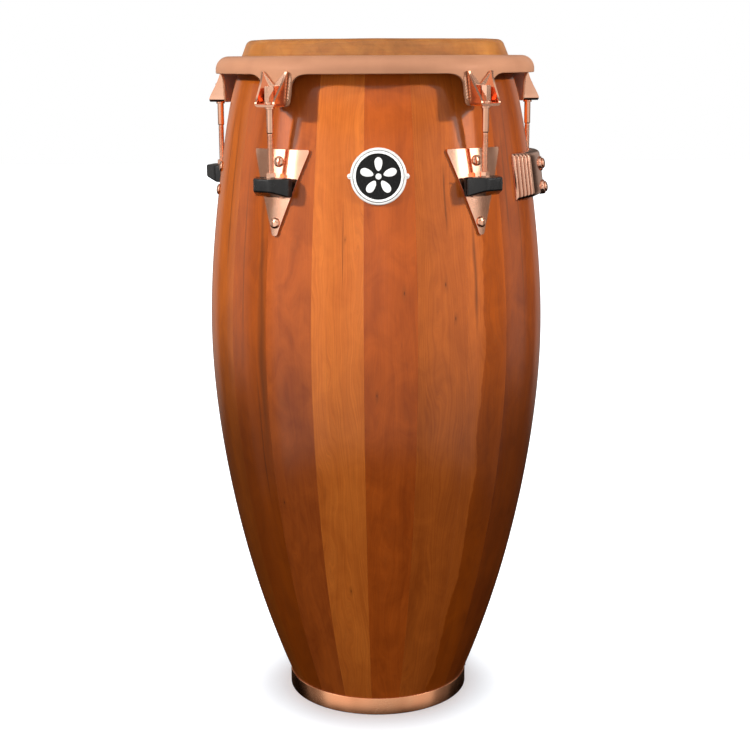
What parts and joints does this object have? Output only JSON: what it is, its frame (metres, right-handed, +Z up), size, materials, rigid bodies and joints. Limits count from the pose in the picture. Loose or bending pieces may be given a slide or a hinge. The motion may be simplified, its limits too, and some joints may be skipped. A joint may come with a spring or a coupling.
{
  "type": "conga drum",
  "caption": "Barrel-shaped conga drum: glued wooden staves, rawhide head and a copper-plated rim drawn down by top-turned bolts.",
  "frame": {"origin": "centre of the foot band's underside, on the floor", "axes": "+Z up the drum's axis to the head, -Y towards the badge at the front, +X towards the stand bracket"},
  "size_m": [0.3944, 0.394, 0.762],
  "materials": {
    "stave_wood": "gloss",
    "skin": "satin",
    "copper_satin": "satin",
    "copper_polished": "polished",
    "rubber": "satin",
    "badge_plate": "polished",
    "zinc_steel": "satin"
  },
  "bodies": {
    "shell": {"stave_01": "stave_wood", "stave_02": "stave_wood", "stave_03": "stave_wood", "stave_04": "stave_wood", "stave_05": "stave_wood", "stave_06": "stave_wood", "stave_07": "stave_wood", "stave_08": "stave_wood", "stave_09": "stave_wood", "stave_10": "stave_wood", "stave_11": "stave_wood", "stave_12": "stave_wood", "stave_13": "stave_wood", "stave_14": "stave_wood", "stave_15": "stave_wood", "stave_16": "stave_wood", "stave_17": "stave_wood", "stave_18": "stave_wood", "stave_19": "stave_wood", "stave_20": "stave_wood", "stave_21": "stave_wood", "bottom_ring": "copper_satin", "ring_screws": "copper_polished", "drumhead": "skin", "flesh_hoop": "zinc_steel", "plate_bolts": "copper_polished", "bracket_bolts": "copper_polished", "spare_bolts": "copper_polished", "stud_washers": "zinc_steel", "stud_nuts": "zinc_steel", "lug_nuts": "copper_polished", "badge": "badge_plate", "badge_pins": "badge_plate", "stand_bracket": "copper_polished", "side_plate_1": "copper_polished", "side_plate_2": "copper_polished", "side_plate_3": "copper_polished", "side_plate_4": "copper_polished", "side_plate_5": "copper_polished", "bumper_1": "rubber", "bumper_2": "rubber", "bumper_3": "rubber", "bumper_4": "rubber", "bumper_5": "rubber"},
    "rim": {"rim": "copper_satin", "bolt_washers": "copper_polished", "retaining_rings": "copper_polished", "ear_bracket_1": "copper_polished", "ear_bracket_2": "copper_polished", "ear_bracket_3": "copper_polished", "ear_bracket_4": "copper_polished", "ear_bracket_5": "copper_polished"},
    "tuning_bolt_1": {"tuning_bolt_1": "copper_polished"},
    "tuning_bolt_2": {"tuning_bolt_2": "copper_polished"},
    "tuning_bolt_3": {"tuning_bolt_3": "copper_polished"},
    "tuning_bolt_4": {"tuning_bolt_4": "copper_polished"},
    "tuning_bolt_5": {"tuning_bolt_5": "copper_polished"}
  },
  "joints": [
    {"name": "rim_slide", "type": "slide", "parent": "shell", "child": "rim", "axis": [0, 0, 1], "range_m": [0, 0.01016]},
    {"name": "tuning_bolt_1_turn", "type": "hinge", "parent": "rim", "child": "tuning_bolt_1", "pos_m": [-0.1788, 0.0581, 0.7], "axis": [0, 0, 1], "range_deg": [0, 2881]},
    {"name": "tuning_bolt_2_turn", "type": "hinge", "parent": "rim", "child": "tuning_bolt_2", "pos_m": [-0.1105, -0.1521, 0.7], "axis": [0, 0, 1], "range_deg": [0, 2881]},
    {"name": "tuning_bolt_3_turn", "type": "hinge", "parent": "rim", "child": "tuning_bolt_3", "pos_m": [0.1105, -0.1521, 0.7], "axis": [0, 0, 1], "range_deg": [0, 2881]},
    {"name": "tuning_bolt_4_turn", "type": "hinge", "parent": "rim", "child": "tuning_bolt_4", "pos_m": [0.1788, 0.0581, 0.7], "axis": [0, 0, 1], "range_deg": [0, 2881]},
    {"name": "tuning_bolt_5_turn", "type": "hinge", "parent": "rim", "child": "tuning_bolt_5", "pos_m": [0, 0.188, 0.7], "axis": [0, 0, 1], "range_deg": [0, 2881]}
  ],
  "couplings": [
    {"joint": "tuning_bolt_1_turn", "follows": "rim_slide", "rad_per_m": 4947.4},
    {"joint": "tuning_bolt_2_turn", "follows": "rim_slide", "rad_per_m": 4947.4},
    {"joint": "tuning_bolt_3_turn", "follows": "rim_slide", "rad_per_m": 4947.4},
    {"joint": "tuning_bolt_4_turn", "follows": "rim_slide", "rad_per_m": 4947.4},
    {"joint": "tuning_bolt_5_turn", "follows": "rim_slide", "rad_per_m": 4947.4}
  ]
}
